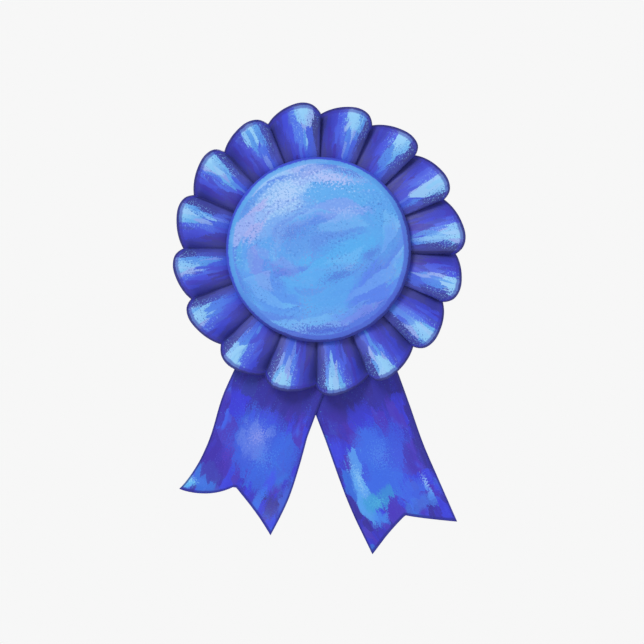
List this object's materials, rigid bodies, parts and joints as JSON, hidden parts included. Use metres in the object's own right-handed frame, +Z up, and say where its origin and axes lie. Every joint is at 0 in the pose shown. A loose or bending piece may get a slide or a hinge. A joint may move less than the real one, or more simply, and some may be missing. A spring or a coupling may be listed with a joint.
{
  "type": "award rosette",
  "caption": "Award rosette: a ring of knife-pleated satin round a padded button, two swallow-tailed ribbons, a backing card and a bar pin.",
  "frame": {"origin": "the middle of the bar pin's stem, which holds the rosette up", "axes": "+X along the stem towards its point, which is the right-hand side seen from the front; +Y towards the back, into the cloth it is pinned to; +Z up, with the tails hanging along -Z"},
  "size_m": [0.1194, 0.0212, 0.1852],
  "materials": {
    "cover_satin": "light sky-blue satin",
    "ribbon_satin": "royal-blue satin with violet shadows",
    "tail_satin": "blue satin",
    "wadding": "white wadding",
    "thread": "dark blue thread",
    "tinplate": "tinned",
    "staple_steel": "galvanised",
    "pin_steel": "nickel plated",
    "back_plastic": "white",
    "foam": "white foam",
    "card": "white card"
  },
  "bodies": {
    "rosette": {"button_cover": "cover_satin", "button_wadding": "wadding", "button_shell": "tinplate", "button_back": "back_plastic", "button_pad": "foam", "pleat_ring": "ribbon_satin", "pleat_stitches": "thread", "pleat_card": "card", "left_tail_top": "tail_satin", "right_tail_top": "tail_satin", "tail_staples": "staple_steel", "backing_card": "card", "pin_tape": "foam", "backing_tape": "foam", "pin_bar": "pin_steel", "pin_rivet": "pin_steel"},
    "left_tail": {"left_tail": "tail_satin"},
    "right_tail": {"right_tail": "tail_satin"},
    "pin_stem": {"pin_stem": "pin_steel"},
    "pin_catch": {"pin_catch": "pin_steel"}
  },
  "joints": [
    {"name": "left_tail_swing", "type": "hinge", "parent": "rosette", "child": "left_tail", "pos_m": [-0.01951, -0.0067, -0.07674], "axis": [0.9367, 0, -0.3502], "range_deg": [-80, 80]},
    {"name": "right_tail_swing", "type": "hinge", "parent": "rosette", "child": "right_tail", "pos_m": [0.01697, -0.0062, -0.07775], "axis": [0.9336, 0, 0.3584], "range_deg": [-80, 80]},
    {"name": "pin_open", "type": "hinge", "parent": "rosette", "child": "pin_stem", "pos_m": [-0.013, 0, 0], "axis": [0, 0, 1], "range_deg": [0, 100]},
    {"name": "catch_turn", "type": "hinge", "parent": "rosette", "child": "pin_catch", "pos_m": [0.011, 0, 0], "axis": [1, 0, 0], "range_deg": [0, 120]}
  ]
}
